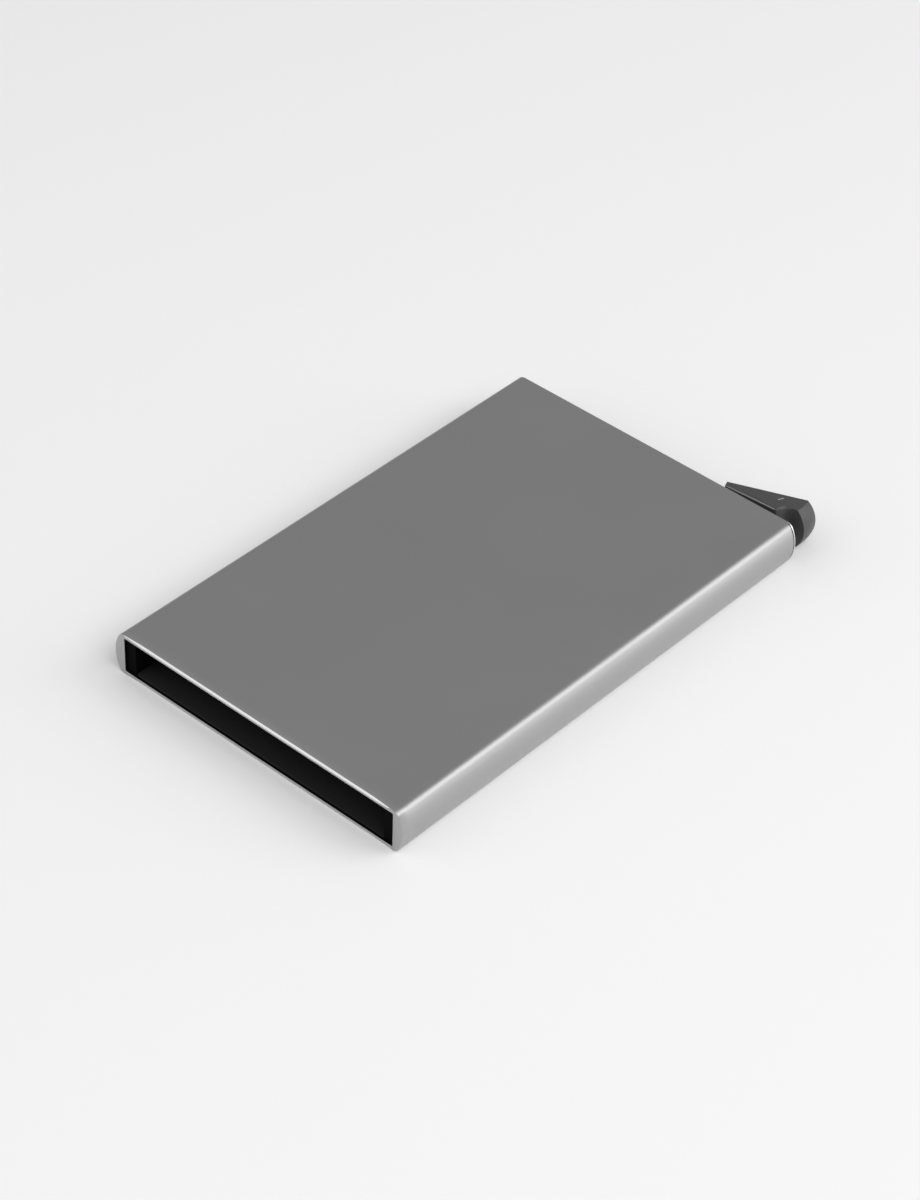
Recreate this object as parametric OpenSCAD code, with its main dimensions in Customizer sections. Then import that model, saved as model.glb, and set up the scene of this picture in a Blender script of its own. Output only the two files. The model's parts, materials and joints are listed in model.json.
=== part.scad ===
// Slim card case: an extruded aluminium sleeve, open at the mouth, with a lever
// at the closed end that swings a stepped arm and fans the cards out of the mouth.
// Millimetres. X runs across the cards, Y from the mouth (-Y) to the lever end (+Y), Z is up.
// The origin is the centre of the sleeve's underside.

/* [Housing] */
// Width of the sleeve across its bulged sides
case_w = 63; // [62.8:0.1:64]
// Length of the sleeve
case_l = 98; // [98:0.5:102]
// Height of the sleeve over its flat faces
case_h = 8.2; // [8.2:0.1:9]
// Thickness of the flat walls
wall = 0.65; // [0.5:0.05:0.7]
// How far each side bulges out at mid height
side_bulge = 1.3; // [1.1:0.1:1.4]
// Radius that turns each flat face into a side
edge_r = 1.3; // [1:0.1:1.5]
// Chamfer round both cut ends
end_chamfer = 0.3; // [0.1:0.05:0.4]
// Width of the cavity
cavity_w = 58.8; // [58.6:0.1:59]

/* [Card channel] */
// Width of a standard card
card_w = 54; // [53.8:0.1:54]
// Length of a standard card
card_l = 85.6; // [85:0.1:85.8]
// How far a pushed-in card sits behind the mouth
card_recess = 1.6; // [1:0.1:1.8]
// Thickness of the lining on each flat wall
lining_t = 0.4; // [0.2:0.1:0.5]
// How far the lining and the rails stop short of the mouth
mouth_setback = 0.5; // [0.3:0.1:1]
// Length of the brake pads
pad_l = 22; // [10:1:40]

/* [Lever] */
// Distance of the pivot from the sleeve's right side
pivot_inset = 10; // [9.6:0.1:10.2]
// Distance of the pivot from the sleeve's lever end
pivot_depth = 6; // [5.8:0.1:6.2]
// Radius of the pivot pin
pin_r = 1; // [0.8:0.05:1.2]
// Radial clearance of the lever on its pin
pin_play = 0.05; // [0.02:0.01:0.1]
// Reach of the longest arm step from the pivot
arm_reach = 44; // [40:1:44]
// Number of card steps on the arm
arm_steps = 5; // [3:1:6]
// How much shorter each arm step is than the one below it
arm_setback = 6; // [4:0.5:6]

/* [Hidden] */
$fn = 64;

eps = 0.01;
end_y = case_l / 2;
mouth_y = -case_l / 2;
mid_z = case_h / 2;
cavity_h = case_h - 2 * wall;

// The lever's thin inner body runs between the two plates of the end insert.
fit_gap = 0.1;
plate_t = 0.8;
plate_gap = 0.2;
arm_z0 = wall + fit_gap + plate_t + plate_gap;
arm_h = case_h - 2 * arm_z0;
step_h = arm_h / arm_steps;

// Front and back of the mechanism, which fills the length that the cards leave.
card_end_y = mouth_y + card_recess + card_l;
mechanism_y = card_end_y + 0.3;
pivot = [case_w / 2 - pivot_inset, end_y - pivot_depth];
hub_r = 3.6;

// Outside part of the lever: a wedge that ends in a finger tab. The tab has the sleeve's
// height and bulged side. From there the lever gets thinner towards the wedge's tip.
wedge_tip_in = [15.1, end_y + 1.77];
wedge_tip_out = [14.47, end_y + 2.85];
wedge_root_y = end_y + 1.22;
neck_x = 25.9;
wedge_slope = 16.35;
tab_z0 = 0.05;
tab_x = 30.4;
tab_inner_y = end_y + 3.44;
notch_r = 2.24;
tab_corner_r = 1;
taper_x = 28.2;
taper = 0.09;

// Slot in the end insert that the wedge sinks into.
slot_x0 = 10.7;
slot_x1 = 27.2;
slot_depth = 3.5;
pivot_land_r = 7.2;
insert_recess = 0.3;
insert_w = cavity_w - 2 * fit_gap;
end_wall_t = 1.4;
side_block_w = 3;

rail_gap = 0.3;
channel_w = card_w + 2 * rail_gap;
rail_y0 = mouth_y + mouth_setback;
rail_l = mechanism_y - rail_y0;
rail_t = (cavity_w - channel_w) / 2 - fit_gap / 2;
pad_t = 0.55;
pad_sunk = 0.4;
pad_h = 4;
pad_y0 = mouth_y + 5;

barb_l = 3;
barb_h = 2.4;
barb_out = 0.7;
barb_y = end_y - 6.5;

// One side of the sleeve's outline: a bulged arc that runs into two rounded edges.
function bulge_r(h, b) = (h * h / 4 + b * b) / (2 * b);
function edge_dx(h, b, r) = sqrt(pow(bulge_r(h, b) - r, 2) - pow(h / 2 - r, 2));
function edge_angle(h, b, r) = atan2(h / 2 - r, edge_dx(h, b, r));

// A bar along Y with flat faces, bulged sides and rounded edges.
// Each end is chamfered by c. Its lower face is at z = 0.
module bulged_bar(w, l, h, b, r, c) {
    big_r = bulge_r(h, b);
    big_x = w / 2 - big_r;
    edge_x = big_x + edge_dx(h, b, r);
    angle = edge_angle(h, b, r);
    flat_bar(edge_x, l, h, c);
    for (side = [0, 1]) {
        mirror([side, 0, 0]) {
            for (z = [r, h - r])
                translate([edge_x, 0, z]) chamfered_rod(r, l, c);
            intersection() {
                translate([big_x, 0, h / 2]) chamfered_rod(big_r, l, c);
                translate([big_x, l / 2 + eps, h / 2]) rotate([90, 0, 0])
                    linear_extrude(l + 2 * eps)
                        polygon([
                            [0, 0],
                            2 * big_r * [cos(angle), -sin(angle)],
                            2 * big_r * [cos(angle), sin(angle)]
                        ]);
            }
        }
    }
}

// The flat middle of the bar, from -half_w to half_w.
module flat_bar(half_w, l, h, c) {
    translate([-half_w, 0, 0]) rotate([90, 0, 90])
        linear_extrude(2 * half_w)
            polygon([
                [-l / 2, c],
                [-l / 2 + c, 0],
                [l / 2 - c, 0],
                [l / 2, c],
                [l / 2, h - c],
                [l / 2 - c, h],
                [-l / 2 + c, h],
                [-l / 2, h - c]
            ]);
}

// A rod along Y with chamfered ends, centred on the origin.
module chamfered_rod(r, l, c) {
    rotate([90, 0, 0]) {
        cylinder(h = l - 2 * c, r = r, center = true, $fn = 96);
        for (end = [0, 1])
            mirror([0, 0, end])
                translate([0, 0, l / 2 - c]) cylinder(h = c, r1 = r, r2 = r - c, $fn = 96);
    }
}

// A block given by its lowest and highest corners.
module block(low, high) {
    translate(low) cube(high - low);
}

// A flat outline raised from z0 to z1.
module slab(z0, z1) {
    translate([0, 0, z0]) linear_extrude(z1 - z0) children();
}

module housing() {
    color("dimgray")
    difference() {
        bulged_bar(case_w, case_l, case_h, side_bulge, edge_r, end_chamfer);
        translate([0, 0, mid_z]) cube([cavity_w, case_l + 2, cavity_h], center = true);
        barb_pockets();
    }
}

// Blind pockets in the thick sides that the end insert's barbs spring into.
module barb_pockets() {
    reach = cavity_w / 2 + barb_out;
    translate([0, barb_y, mid_z])
        cube([2 * reach, barb_l + 2 * fit_gap, barb_h + 2 * fit_gap], center = true);
}

module end_insert() {
    color("black")
    difference() {
        union() {
            insert_plates();
            insert_walls();
            insert_barbs();
        }
        translate([pivot.x, pivot.y, 0]) cylinder(h = case_h, r = pin_r);
    }
}

// Two plates that carry the pin, cut back where the lever's wedge swings.
module insert_plates() {
    for (z = [wall + fit_gap, case_h - wall - fit_gap - plate_t])
        slab(z, z + plate_t) plate_outline();
}

module plate_outline() {
    difference() {
        translate([-insert_w / 2, mechanism_y]) square([insert_w, end_y - insert_recess - mechanism_y]);
        difference() {
            translate([slot_x0, end_y - slot_depth]) square([slot_x1 - slot_x0, slot_depth]);
            translate(pivot) circle(pivot_land_r);
        }
    }
}

// The wall that closes the sleeve beside the slot, and the block at each side.
module insert_walls() {
    z0 = wall + fit_gap;
    z1 = case_h - wall - fit_gap;
    y1 = end_y - insert_recess;
    block([-insert_w / 2, y1 - end_wall_t, z0], [slot_x0, y1, z1]);
    block([-insert_w / 2, mechanism_y, z0], [-insert_w / 2 + side_block_w, y1, z1]);
    block([slot_x1, mechanism_y, z0], [insert_w / 2, y1, z1]);
}

// Ramped barbs that hold the insert in the sleeve.
module insert_barbs() {
    for (side = [0, 1])
        mirror([side, 0, 0])
            slab(mid_z - barb_h / 2, mid_z + barb_h / 2)
                polygon([
                    [insert_w / 2 - 1, barb_y - barb_l / 2],
                    [insert_w / 2, barb_y - barb_l / 2],
                    [insert_w / 2 + barb_out, barb_y + barb_l / 2],
                    [insert_w / 2 - 1, barb_y + barb_l / 2]
                ]);
}

module pivot_pin() {
    color("silver")
    translate([pivot.x, pivot.y, wall + fit_gap])
        cylinder(h = case_h - 2 * (wall + fit_gap), r = pin_r);
}

module lever() {
    color("black")
    difference() {
        union() {
            for (i = [0 : arm_steps - 1])
                slab(arm_z0 + i * step_h, arm_z0 + (i + 1) * step_h) arm_outline(arm_reach - i * arm_setback);
            slab(arm_z0, arm_z0 + arm_h) neck_outline();
            wedge_and_tab();
        }
        translate([pivot.x, pivot.y, 0]) cylinder(h = case_h, r = pin_r + pin_play);
    }
}

// One step of the arm, which tapers from the hub to a rounded tip.
module arm_outline(reach) {
    front = mechanism_y - pivot.y;
    tip_r = 1.2;
    translate(pivot) {
        circle(hub_r);
        translate([tip_r - reach, front + tip_r]) circle(tip_r);
        translate([0, front + tip_r]) circle(tip_r);
        polygon([
            [0, front],
            [tip_r - reach, front],
            [tip_r - reach, front + 2 * tip_r],
            [-hub_r, hub_r / 2],
            [tip_r, 0],
            [tip_r, front + tip_r]
        ]);
    }
}

// The neck that leaves the sleeve beside the wedge.
module neck_outline() {
    polygon([
        [pivot.x - 3, pivot.y],
        [pivot.x + 3, pivot.y],
        [neck_x, end_y - 1.5],
        [neck_x, end_y + 2.4],
        [pivot.x - 4, end_y + 2.2]
    ]);
}

// The wedge fills the slot's mouth at rest and sinks into it. The tab stays outside.
module wedge_and_tab() {
    tab_h = case_h - 2 * tab_z0;
    intersection() {
        slab(tab_z0, tab_z0 + tab_h) outside_outline();
        taper_prism();
        translate([0, end_y, tab_z0])
            bulged_bar(2 * tab_x, 40, tab_h, side_bulge, edge_r, end_chamfer);
    }
}

// A prism along Y, thinner towards -X, that gives the lever its two slanted faces.
module taper_prism() {
    low = taper * taper_x;
    translate([0, end_y + 20, 0]) rotate([90, 0, 0])
        linear_extrude(40)
            polygon([
                [0, tab_z0 + low],
                [taper_x, tab_z0],
                [tab_x + 1, tab_z0],
                [tab_x + 1, case_h - tab_z0],
                [taper_x, case_h - tab_z0],
                [0, case_h - tab_z0 - low]
            ]);
}

// Everything outside the sleeve, seen from above.
module outside_outline() {
    difference() {
        union() {
            polygon([
                wedge_tip_out,
                wedge_tip_in,
                [neck_x, wedge_root_y],
                [tab_x, wedge_root_y],
                [tab_x, tab_side_y()],
                tab_corner_center(),
                tab_corner_center() + tab_corner_r * [-sin(wedge_slope), cos(wedge_slope)]
            ]);
            translate(tab_corner_center()) circle(tab_corner_r);
        }
        translate([neck_x + notch_r, tab_inner_y - notch_r]) circle(notch_r);
        translate([neck_x + notch_r, end_y]) square([2 * tab_x, tab_inner_y - end_y]);
    }
}

// The tab's outer corner is a circle that touches the wedge's outer edge and the tab's side.
function tab_side_y() =
    wedge_tip_out.y + (tab_x - tab_corner_r - wedge_tip_out.x) * tan(wedge_slope)
    - tab_corner_r / cos(wedge_slope);
function tab_corner_center() = [tab_x - tab_corner_r, tab_side_y()];

// A rail that fills the cavity beside the cards, with a pocket for its brake pad.
module guide_rail() {
    x0 = channel_w / 2;
    difference() {
        block(
            [x0, rail_y0, wall + fit_gap / 2],
            [x0 + rail_t, rail_y0 + rail_l - fit_gap, case_h - wall - fit_gap / 2]
        );
        block(
            [x0 - 1, pad_y0, mid_z - pad_h / 2],
            [x0 + pad_sunk, pad_y0 + pad_l, mid_z + pad_h / 2]
        );
    }
}

module brake_pad() {
    x1 = channel_w / 2 + pad_sunk;
    block([x1 - pad_t, pad_y0, mid_z - pad_h / 2], [x1, pad_y0 + pad_l, mid_z + pad_h / 2]);
}

// A thin sheet bonded to a flat wall between the rails.
module lining(z0) {
    gap = fit_gap / 2;
    block([gap - channel_w / 2, rail_y0, z0], [channel_w / 2 - gap, rail_y0 + rail_l - fit_gap, z0 + lining_t]);
}

module left_guide_rail() {
    color("black") mirror([1, 0, 0]) guide_rail();
}

module right_guide_rail() {
    color("black") guide_rail();
}

module left_brake_pad() {
    color("darkslategray") mirror([1, 0, 0]) brake_pad();
}

module right_brake_pad() {
    color("darkslategray") brake_pad();
}

module upper_lining() {
    color("darkslategray") lining(case_h - wall - lining_t);
}

module lower_lining() {
    color("darkslategray") lining(wall);
}

housing();
end_insert();
lever();
pivot_pin();
left_guide_rail();
right_guide_rail();
left_brake_pad();
right_brake_pad();
upper_lining();
lower_lining();
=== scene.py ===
"""Studio scene for a slim aluminium card case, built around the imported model.

The sleeve, the lever and the soft pieces are worked out here as smooth surfaces.
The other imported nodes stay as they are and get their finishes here.
The frame, the lamps and the camera are in metres, and a piece's own sizes in millimetres.
X runs across the cards, Y from the mouth to the lever end, Z is up.
"""
from __future__ import annotations

import json
import logging
import math
from dataclasses import dataclass
from enum import Enum, IntEnum

import bpy
import numpy as np
from mathutils import Matrix, Vector


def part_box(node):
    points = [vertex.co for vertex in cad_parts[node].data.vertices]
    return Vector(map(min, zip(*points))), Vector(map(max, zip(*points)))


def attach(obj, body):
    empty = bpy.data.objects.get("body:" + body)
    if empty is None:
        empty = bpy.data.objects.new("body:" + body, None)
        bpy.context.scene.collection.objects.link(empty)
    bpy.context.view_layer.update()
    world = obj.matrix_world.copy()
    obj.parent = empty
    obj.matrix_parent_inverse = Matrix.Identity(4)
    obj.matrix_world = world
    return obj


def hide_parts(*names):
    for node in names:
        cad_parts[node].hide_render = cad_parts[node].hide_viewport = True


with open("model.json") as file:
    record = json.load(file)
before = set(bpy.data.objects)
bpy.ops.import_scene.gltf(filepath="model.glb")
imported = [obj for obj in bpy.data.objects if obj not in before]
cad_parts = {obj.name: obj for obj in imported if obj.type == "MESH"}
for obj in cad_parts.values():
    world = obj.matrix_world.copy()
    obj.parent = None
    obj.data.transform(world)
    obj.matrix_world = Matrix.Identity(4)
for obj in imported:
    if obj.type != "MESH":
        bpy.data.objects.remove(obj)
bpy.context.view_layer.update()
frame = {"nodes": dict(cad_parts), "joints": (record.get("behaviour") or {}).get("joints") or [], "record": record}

LOG = logging.getLogger("card_case")
MM = 0.001


def in_mm(metres: float) -> float:
    """Turn a length of the frame into millimetres, to the nearest micron."""
    return round(metres / MM, 3)


class Slot(Enum):
    """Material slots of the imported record."""

    SLEEVE = "anodised_sleeve"
    INSERT = "insert_nylon"
    LEVER = "lever_nylon"
    PIN = "pin_steel"
    RAIL = "rail_nylon"
    FELT = "felt"
    FLOCK = "lining_flock"


# ---------------------------------------------------------------- finishes


class NodeSheet:
    """A material's node tree with short helpers to add and link nodes."""

    def __init__(self, name: str) -> None:
        """Make an empty node material with a Principled shader.

        Args:
            name: the material's name.
        """
        self.material = bpy.data.materials.new(name)
        self.material.use_nodes = True
        self.tree = self.material.node_tree
        self.tree.nodes.clear()
        self.output = self.add("ShaderNodeOutputMaterial")
        self.shader = self.add("ShaderNodeBsdfPrincipled")
        self.link(self.shader.outputs["BSDF"], self.output.inputs["Surface"])
        self.coordinates = self.add("ShaderNodeTexCoord").outputs["Object"]

    def add(self, kind: str, **settings: object) -> bpy.types.Node:
        """Add a node and set its plain attributes.

        Args:
            kind: the node's type name.
            **settings: attribute names and values.

        Returns:
            The new node.
        """
        node = self.tree.nodes.new(kind)
        for key, value in settings.items():
            setattr(node, key, value)
        return node

    def link(self, source: bpy.types.NodeSocket, target: bpy.types.NodeSocket) -> None:
        """Link an output socket to an input socket."""
        self.tree.links.new(source, target)

    def noise(self, scale: float, detail: float = 2.0, roughness: float = 0.5) -> bpy.types.NodeSocket:
        """Add a noise pattern on the object's coordinates.

        Args:
            scale: cells in a metre.
            detail: octaves.
            roughness: how strong the finer octaves are.

        Returns:
            The noise value, from 0 to 1.
        """
        node = self.add("ShaderNodeTexNoise")
        node.inputs["Scale"].default_value = scale
        node.inputs["Detail"].default_value = detail
        node.inputs["Roughness"].default_value = roughness
        self.link(self.coordinates, node.inputs["Vector"])
        return node.outputs["Fac"]

    def spread(self, value: bpy.types.NodeSocket, low: float, high: float,
               from_low: float = 0.3, from_high: float = 0.7) -> bpy.types.NodeSocket:
        """Map a value's range onto another range, clamped at both ends.

        Args:
            value: the value to map.
            low: result at from_low.
            high: result at from_high.
            from_low: start of the input range.
            from_high: end of the input range.

        Returns:
            The mapped value.
        """
        node = self.add("ShaderNodeMapRange")
        self.link(value, node.inputs["Value"])
        node.inputs["From Min"].default_value = from_low
        node.inputs["From Max"].default_value = from_high
        node.inputs["To Min"].default_value = low
        node.inputs["To Max"].default_value = high
        return node.outputs["Result"]

    def tint(self, value: bpy.types.NodeSocket, dark: tuple[float, float, float],
             light: tuple[float, float, float]) -> None:
        """Colour the shader.

        Args:
            value: the share of light, from 0 to 1.
            dark: linear colour at 0.
            light: linear colour at 1.
        """
        node = self.add("ShaderNodeMix", data_type="RGBA")
        self.link(value, node.inputs["Factor"])
        node.inputs[6].default_value = (*dark, 1.0)
        node.inputs[7].default_value = (*light, 1.0)
        self.link(node.outputs[2], self.shader.inputs["Base Color"])

    def relief(self, value: bpy.types.NodeSocket, depth: float, strength: float) -> None:
        """Add a bump to the shader's normal.

        Args:
            value: its height, from 0 to 1.
            depth: height in metres at a value of 1.
            strength: share of the bump that shows.
        """
        node = self.add("ShaderNodeBump")
        node.inputs["Strength"].default_value = strength
        node.inputs["Distance"].default_value = depth
        self.link(value, node.inputs["Height"])
        self.link(node.outputs["Normal"], self.shader.inputs["Normal"])


@dataclass(frozen=True)
class AnodisedAluminium:
    """Bead-blasted and anodised aluminium: a satin grey metal with a fine grain.

    Args:
        name: the material's name.
        colour: mean linear colour.
        roughness: mean roughness.
        grain_per_metre: noise cells of the grain in a metre.
        grain_depth: depth of the grain in metres.
    """

    name: str = "anodised_aluminium"
    colour: tuple[float, float, float] = (0.45, 0.45, 0.452)
    roughness: float = 0.46
    grain_per_metre: float = 9000.0
    grain_depth: float = 0.000012

    def build(self) -> bpy.types.Material:
        """Make the material.

        Returns:
            The new material.
        """
        sheet = NodeSheet(self.name)
        grain = sheet.noise(self.grain_per_metre, detail=3.0, roughness=0.6)
        cloud = sheet.noise(60.0, detail=2.0)
        dark = tuple(c * 0.96 for c in self.colour)
        light = tuple(c * 1.04 for c in self.colour)
        sheet.tint(sheet.spread(grain, 0.0, 1.0), dark, light)
        rough = sheet.spread(cloud, self.roughness - 0.02, self.roughness + 0.02)
        sheet.link(rough, sheet.shader.inputs["Roughness"])
        sheet.shader.inputs["Metallic"].default_value = 1.0
        sheet.relief(grain, self.grain_depth, 0.35)
        return sheet.material


@dataclass(frozen=True)
class CutAluminium:
    """Bare aluminium where a cutter has broken an edge: bright, with fine tool marks.

    Args:
        name: the material's name.
        colour: its lightest linear colour.
        roughness: mean roughness.
    """

    name: str = "cut_aluminium"
    colour: tuple[float, float, float] = (0.78, 0.78, 0.785)
    roughness: float = 0.26

    def build(self) -> bpy.types.Material:
        """Make the material.

        Returns:
            The new material.
        """
        sheet = NodeSheet(self.name)
        lines = sheet.noise(6000.0, detail=2.0)
        dark = tuple(c * 0.93 for c in self.colour)
        sheet.tint(sheet.spread(lines, 0.0, 1.0), dark, self.colour)
        rough = sheet.spread(lines, self.roughness - 0.05, self.roughness + 0.08)
        sheet.link(rough, sheet.shader.inputs["Roughness"])
        sheet.shader.inputs["Metallic"].default_value = 1.0
        sheet.relief(lines, 0.000004, 0.3)
        return sheet.material


@dataclass(frozen=True)
class MouldedNylon:
    """Black moulded plastic with a spark-eroded texture.

    Args:
        name: the material's name.
        colour: mean linear colour.
        roughness: mean roughness.
        texture_per_metre: noise cells of the texture in a metre.
        texture_depth: depth of the texture in metres.
        specular: strength of the gloss.
    """

    name: str
    colour: tuple[float, float, float]
    roughness: float = 0.48
    texture_per_metre: float = 7000.0
    texture_depth: float = 0.00002
    specular: float = 0.5

    def build(self) -> bpy.types.Material:
        """Make the material.

        Returns:
            The new material.
        """
        sheet = NodeSheet(self.name)
        texture = sheet.noise(self.texture_per_metre, detail=4.0, roughness=0.55)
        dark = tuple(c * 0.8 for c in self.colour)
        light = tuple(c * 1.2 for c in self.colour)
        sheet.tint(sheet.spread(texture, 0.0, 1.0), dark, light)
        rough = sheet.spread(texture, self.roughness - 0.05, self.roughness + 0.07)
        sheet.link(rough, sheet.shader.inputs["Roughness"])
        sheet.shader.inputs["IOR"].default_value = 1.5
        sheet.shader.inputs["Specular IOR Level"].default_value = self.specular
        sheet.relief(texture, self.texture_depth, 0.5)
        return sheet.material


@dataclass(frozen=True)
class PressedFelt:
    """Black felt or flock: fibrous, with a soft sheen.

    Args:
        name: the material's name.
        colour: mean linear colour.
        fibre_per_metre: noise cells of the fibres in a metre.
    """

    name: str
    colour: tuple[float, float, float]
    fibre_per_metre: float = 5000.0

    def build(self) -> bpy.types.Material:
        """Make the material.

        Returns:
            The new material.
        """
        sheet = NodeSheet(self.name)
        fibres = sheet.noise(self.fibre_per_metre, detail=6.0, roughness=0.75)
        dark = tuple(c * 0.6 for c in self.colour)
        light = tuple(c * 1.5 for c in self.colour)
        sheet.tint(sheet.spread(fibres, 0.0, 1.0), dark, light)
        sheet.shader.inputs["Roughness"].default_value = 0.95
        sheet.shader.inputs["Sheen Weight"].default_value = 0.02
        sheet.shader.inputs["Sheen Roughness"].default_value = 0.6
        sheet.relief(fibres, 0.0001, 0.8)
        return sheet.material


@dataclass(frozen=True)
class GroundSteel:
    """A ground steel pin with lines round its axis.

    Args:
        name: the material's name.
        colour: its lightest linear colour.
    """

    name: str = "ground_steel"
    colour: tuple[float, float, float] = (0.62, 0.62, 0.63)

    def build(self) -> bpy.types.Material:
        """Make the material.

        Returns:
            The new material.
        """
        sheet = NodeSheet(self.name)
        wave = sheet.add("ShaderNodeTexWave", bands_direction="Z")
        wave.inputs["Scale"].default_value = 3000.0
        wave.inputs["Distortion"].default_value = 2.0
        sheet.link(sheet.coordinates, wave.inputs["Vector"])
        lines = wave.outputs["Fac"]
        dark = tuple(c * 0.9 for c in self.colour)
        sheet.tint(lines, dark, self.colour)
        sheet.link(sheet.spread(lines, 0.25, 0.35, 0.0, 1.0), sheet.shader.inputs["Roughness"])
        sheet.shader.inputs["Metallic"].default_value = 1.0
        return sheet.material


@dataclass(frozen=True)
class PaperSweep:
    """The plain pale floor.

    Args:
        name: the material's name.
        colour: its lightest linear colour.
    """

    name: str = "paper_sweep"
    colour: tuple[float, float, float] = (0.95, 0.95, 0.95)

    def build(self) -> bpy.types.Material:
        """Make the material.

        Returns:
            The new material.
        """
        sheet = NodeSheet(self.name)
        fibre = sheet.noise(400.0, detail=3.0)
        dark = tuple(c * 0.995 for c in self.colour)
        sheet.tint(fibre, dark, self.colour)
        sheet.shader.inputs["Roughness"].default_value = 0.9
        sheet.shader.inputs["Specular IOR Level"].default_value = 0.1
        return sheet.material


# ---------------------------------------------------------------- shapes


@dataclass(frozen=True)
class Section:
    """A cross-section of flat faces and bulged sides joined by rounded edges.

    Each side is a circular arc as deep as the bulge, and each edge a smaller arc that
    touches both the side and the flat face.

    Args:
        width: over the bulged sides.
        height: over the flat faces.
        bulge: depth the sides' arc would have over the full height.
        edge_radius: radius of the rounded edges.
        big_steps: segments of a side.
        small_steps: segments of an edge.
        flat_steps: segments of a flat face.
    """

    width: float
    height: float
    bulge: float
    edge_radius: float
    big_steps: int = 24
    small_steps: int = 10
    flat_steps: int = 12

    @property
    def big_radius(self) -> float:
        """Radius of the bulged side: a quarter of the height's square plus the bulge's square,
        over twice the bulge."""
        return (self.height ** 2 / 4 + self.bulge ** 2) / (2 * self.bulge)

    @property
    def edge_centre(self) -> tuple[float, float]:
        """Centre of the upper rounded edge, seen from the bulge's centre."""
        rise = self.height / 2 - self.edge_radius
        return math.sqrt((self.big_radius - self.edge_radius) ** 2 - rise ** 2), rise

    def side_depth(self, height: np.ndarray) -> np.ndarray:
        """How far the side falls back from its widest line.

        Args:
            height: distances above or below mid height.

        Returns:
            The depth at each height.
        """
        run, rise = self.edge_centre
        turn = self.big_radius * rise / math.hypot(run, rise)
        away = np.abs(height)
        arc = np.sqrt(np.maximum(self.big_radius ** 2 - away ** 2, 0.0))
        edge = run + np.sqrt(np.maximum(self.edge_radius ** 2 - (away - rise) ** 2, 0.0))
        return self.big_radius - np.where(away < turn, arc, edge)

    def loop(self, inset: float) -> np.ndarray:
        """The closed outline, moved inwards: its arcs keep their centres and lose the inset.

        Args:
            inset: how far it is moved.

        Returns:
            Points (x, z) about mid height, counter-clockwise.
        """
        run, rise = self.edge_centre
        start = self.width / 2 - self.big_radius
        angle = math.atan2(rise, run)
        big = np.linspace(-angle, angle, self.big_steps + 1)
        small = np.linspace(angle, math.pi / 2, self.small_steps + 1)[1:]
        big_r = self.big_radius - inset
        small_r = self.edge_radius - inset
        upper_x = start + run + small_r * np.cos(small)
        upper_z = rise + small_r * np.sin(small)
        right_x = np.concatenate((upper_x[::-1], start + big_r * np.cos(big), upper_x))
        right_z = np.concatenate((-upper_z[::-1], big_r * np.sin(big), upper_z))
        return close_loop(right_x, right_z, self.flat_steps)

    def cavity(self, width: float, height: float, radius: float, grow: float) -> np.ndarray:
        """A rounded rectangle with as many points as the outline.

        Args:
            width: of the rectangle.
            height: of the rectangle.
            radius: of its corners.
            grow: how far it is moved outwards.

        Returns:
            Points (x, z) about mid height.
        """
        wall = np.linspace(radius - height / 2, height / 2 - radius, self.big_steps + 1)
        corner = np.linspace(0.0, math.pi / 2, self.small_steps + 1)[1:]
        upper_x = width / 2 - radius + (radius + grow) * np.cos(corner)
        upper_z = height / 2 - radius + (radius + grow) * np.sin(corner)
        right_x = np.concatenate((upper_x[::-1], np.full(wall.shape, width / 2 + grow), upper_x))
        right_z = np.concatenate((-upper_z[::-1], wall, upper_z))
        return close_loop(right_x, right_z, self.flat_steps)


def close_loop(right_x: np.ndarray, right_z: np.ndarray, flat_steps: int) -> np.ndarray:
    """Mirror a right-hand side and join both sides with flat runs.

    The points of a flat run are spaced as a cosine, closest together near the sides.

    Args:
        right_x: x of the right-hand side, from its lowest to its highest point.
        right_z: z of the same points.
        flat_steps: segments of a flat run.

    Returns:
        Points (x, z), counter-clockwise.
    """
    flat = right_x[-1] * np.cos(np.linspace(0.0, math.pi, flat_steps + 1)[1:-1])
    top = np.full(flat.shape, right_z[-1])
    x = np.concatenate((right_x, flat, -right_x[::-1], -flat))
    z = np.concatenate((right_z, top, right_z[::-1], -top))
    return np.stack((x, z), axis=1)


def rounded_outline(corners: list[tuple[float, float, float]], steps: int = 6) -> np.ndarray:
    """A closed outline whose corners are eased.

    A corner is a parabola that leaves and meets the straight sides at its ease length.

    Args:
        corners: x, y and ease length of each corner, counter-clockwise.
        steps: segments in each corner.

    Returns:
        Points (x, y).
    """
    table = np.array(corners)
    point = table[:, :2]
    before = np.roll(point, 1, axis=0) - point
    after = np.roll(point, -1, axis=0) - point
    before /= np.linalg.norm(before, axis=1, keepdims=True)
    after /= np.linalg.norm(after, axis=1, keepdims=True)
    ease = table[:, 2:3]
    t = np.linspace(0.0, 1.0, steps + 1)[None, :, None]
    start = (point + before * ease)[:, None, :]
    end = (point + after * ease)[:, None, :]
    curve = (1 - t) ** 2 * start + 2 * t * (1 - t) * point[:, None, :] + t ** 2 * end
    return curve.reshape(-1, 2)


def outward(outline: np.ndarray) -> np.ndarray:
    """Unit normals of a closed outline: the line between a point's neighbours, turned right.

    Args:
        outline: points (x, y), counter-clockwise.

    Returns:
        A normal for each point.
    """
    along = np.roll(outline, -1, axis=0) - np.roll(outline, 1, axis=0)
    along /= np.linalg.norm(along, axis=1, keepdims=True)
    return np.stack((along[:, 1], -along[:, 0]), axis=1)


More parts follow.
